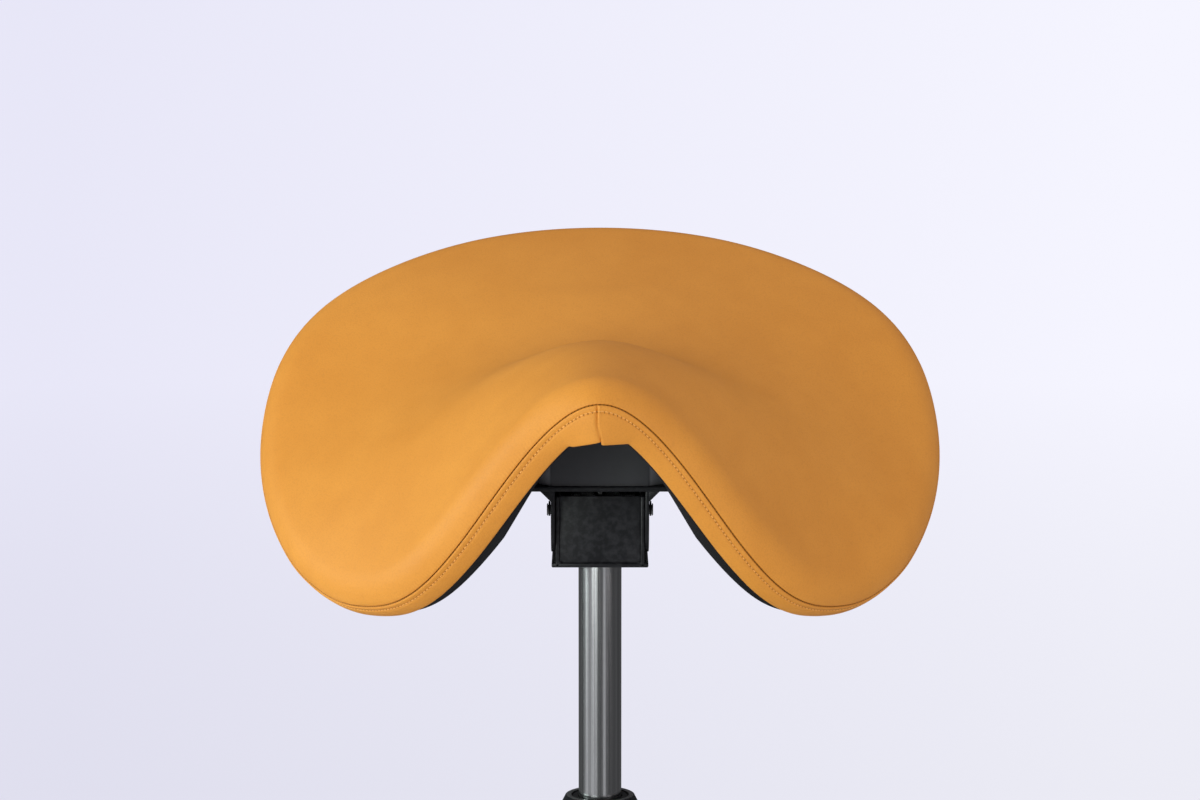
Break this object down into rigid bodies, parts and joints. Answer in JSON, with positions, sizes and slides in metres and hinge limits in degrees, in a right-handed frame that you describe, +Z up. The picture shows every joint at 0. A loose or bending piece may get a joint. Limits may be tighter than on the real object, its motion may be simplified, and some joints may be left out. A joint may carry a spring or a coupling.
{
  "type": "saddle stool",
  "caption": "Saddle stool with a stitched tan leather saddle on a tilting black bracket, a steel gas lift with a black column, and a star base on casters.",
  "frame": {"origin": "on the floor, on the axis of the lift", "axes": "+Z up, -Y towards the narrow front of the saddle, +X towards the height lever's side"},
  "size_m": [0.5242, 0.5237, 0.6853],
  "materials": {
    "leather": "smooth semi-gloss tan leather with a fine grain",
    "foam": "soft foam",
    "black_plastic": "fine matte texture",
    "black_steel": "satin black paint",
    "brushed_steel": "brushed lengthwise",
    "bright_steel": "bright plated",
    "cast_aluminium": "satin",
    "grey_tread": "soft grey tread",
    "bearing_plastic": "smooth"
  },
  "bodies": {
    "base": {"star_base": "cast_aluminium", "column_tube": "black_steel", "guide_bush": "bearing_plastic", "lower_race": "bright_steel", "ball_cage": "bearing_plastic", "caster_stem_1": "bright_steel", "caster_stem_2": "bright_steel", "caster_stem_3": "bright_steel", "caster_stem_4": "bright_steel", "caster_stem_5": "bright_steel"},
    "rod": {"piston_rod": "bright_steel", "rod_clip": "bright_steel", "piston": "bearing_plastic", "upper_race": "bright_steel"},
    "lift": {"gas_cylinder": "brushed_steel", "gland_seal": "black_plastic", "lower_housing": "black_steel", "taper_socket": "black_steel", "pivot_pin": "bright_steel", "pivot_clip_left": "black_steel", "pivot_clip_right": "black_steel", "pivot_bush_left": "bearing_plastic", "pivot_bush_right": "bearing_plastic", "lever_pin": "bright_steel", "clamp_nut": "bright_steel"},
    "button": {"release_button": "bright_steel"},
    "height_lever": {"height_lever": "bright_steel", "height_grip": "black_plastic"},
    "tilt_lever": {"tilt_lever": "bright_steel", "tilt_grip": "black_plastic", "clamp_shaft": "bright_steel"},
    "seat": {"upper_bracket": "black_steel", "seat_bolt_1": "bright_steel", "seat_bolt_2": "bright_steel", "seat_bolt_3": "bright_steel", "seat_bolt_4": "bright_steel", "seat_pan": "black_plastic", "seat_foam": "foam", "leather_top": "leather", "leather_band": "leather"},
    "caster_1": {"caster_hood_1": "black_plastic", "caster_axle_1": "bright_steel"},
    "wheel_left_1": {"caster_wheel_left_1": "grey_tread"},
    "wheel_right_1": {"caster_wheel_right_1": "grey_tread"},
    "caster_2": {"caster_hood_2": "black_plastic", "caster_axle_2": "bright_steel"},
    "wheel_left_2": {"caster_wheel_left_2": "grey_tread"},
    "wheel_right_2": {"caster_wheel_right_2": "grey_tread"},
    "caster_3": {"caster_hood_3": "black_plastic", "caster_axle_3": "bright_steel"},
    "wheel_left_3": {"caster_wheel_left_3": "grey_tread"},
    "wheel_right_3": {"caster_wheel_right_3": "grey_tread"},
    "caster_4": {"caster_hood_4": "black_plastic", "caster_axle_4": "bright_steel"},
    "wheel_left_4": {"caster_wheel_left_4": "grey_tread"},
    "wheel_right_4": {"caster_wheel_right_4": "grey_tread"},
    "caster_5": {"caster_hood_5": "black_plastic", "caster_axle_5": "bright_steel"},
    "wheel_left_5": {"caster_wheel_left_5": "grey_tread"},
    "wheel_right_5": {"caster_wheel_right_5": "grey_tread"}
  },
  "joints": [
    {"name": "seat_swivel", "type": "hinge", "parent": "base", "child": "rod", "pos_m": [0, 0, 0.06], "axis": [0, 0, 1], "continuous": true},
    {"name": "height_slide", "type": "slide", "parent": "rod", "child": "lift", "axis": [0, 0, 1], "range_m": [-0.128, 0.072]},
    {"name": "seat_tilt", "type": "hinge", "parent": "lift", "child": "seat", "pos_m": [0, -0.034, 0.525], "axis": [1, 0, 0], "range_deg": [0, 12]},
    {"name": "height_lever_lift", "type": "hinge", "parent": "lift", "child": "height_lever", "pos_m": [0, 0.026, 0.533], "axis": [1, 0, 0], "range_deg": [0, 6], "stiffness_Nm_per_rad": 4, "springref_deg": -2.86},
    {"name": "button_slide", "type": "slide", "parent": "lift", "child": "button", "axis": [0, 0, 1], "range_m": [-0.003, 0]},
    {"name": "tilt_lever_turn", "type": "hinge", "parent": "lift", "child": "tilt_lever", "pos_m": [0, 0.05, 0.52], "axis": [1, 0, 0], "range_deg": [-25, 0]},
    {"name": "caster_swivel_1", "type": "hinge", "parent": "base", "child": "caster_1", "pos_m": [0, 0.25, 0.07], "axis": [0, 0, 1], "continuous": true},
    {"name": "wheel_left_spin_1", "type": "hinge", "parent": "caster_1", "child": "wheel_left_1", "pos_m": [0, 0.223, 0.02942], "axis": [1, 0, 0], "continuous": true},
    {"name": "wheel_right_spin_1", "type": "hinge", "parent": "caster_1", "child": "wheel_right_1", "pos_m": [0, 0.223, 0.02942], "axis": [1, 0, 0], "continuous": true},
    {"name": "caster_swivel_2", "type": "hinge", "parent": "base", "child": "caster_2", "pos_m": [-0.23776, 0.07725, 0.07], "axis": [0, 0, 1], "continuous": true},
    {"name": "wheel_left_spin_2", "type": "hinge", "parent": "caster_2", "child": "wheel_left_2", "pos_m": [-0.23776, 0.05025, 0.02942], "axis": [1, 0, 0], "continuous": true},
    {"name": "wheel_right_spin_2", "type": "hinge", "parent": "caster_2", "child": "wheel_right_2", "pos_m": [-0.23776, 0.05025, 0.02942], "axis": [1, 0, 0], "continuous": true},
    {"name": "caster_swivel_3", "type": "hinge", "parent": "base", "child": "caster_3", "pos_m": [-0.14695, -0.20225, 0.07], "axis": [0, 0, 1], "continuous": true},
    {"name": "wheel_left_spin_3", "type": "hinge", "parent": "caster_3", "child": "wheel_left_3", "pos_m": [-0.14695, -0.22925, 0.02942], "axis": [1, 0, 0], "continuous": true},
    {"name": "wheel_right_spin_3", "type": "hinge", "parent": "caster_3", "child": "wheel_right_3", "pos_m": [-0.14695, -0.22925, 0.02942], "axis": [1, 0, 0], "continuous": true},
    {"name": "caster_swivel_4", "type": "hinge", "parent": "base", "child": "caster_4", "pos_m": [0.14695, -0.20225, 0.07], "axis": [0, 0, 1], "continuous": true},
    {"name": "wheel_left_spin_4", "type": "hinge", "parent": "caster_4", "child": "wheel_left_4", "pos_m": [0.14695, -0.22925, 0.02942], "axis": [1, 0, 0], "continuous": true},
    {"name": "wheel_right_spin_4", "type": "hinge", "parent": "caster_4", "child": "wheel_right_4", "pos_m": [0.14695, -0.22925, 0.02942], "axis": [1, 0, 0], "continuous": true},
    {"name": "caster_swivel_5", "type": "hinge", "parent": "base", "child": "caster_5", "pos_m": [0.23776, 0.07725, 0.07], "axis": [0, 0, 1], "continuous": true},
    {"name": "wheel_left_spin_5", "type": "hinge", "parent": "caster_5", "child": "wheel_left_5", "pos_m": [0.23776, 0.05025, 0.02942], "axis": [1, 0, 0], "continuous": true},
    {"name": "wheel_right_spin_5", "type": "hinge", "parent": "caster_5", "child": "wheel_right_5", "pos_m": [0.23776, 0.05025, 0.02942], "axis": [1, 0, 0], "continuous": true}
  ],
  "couplings": [
    {"joint": "button_slide", "follows": "height_lever_lift", "m_per_rad": -0.026}
  ]
}
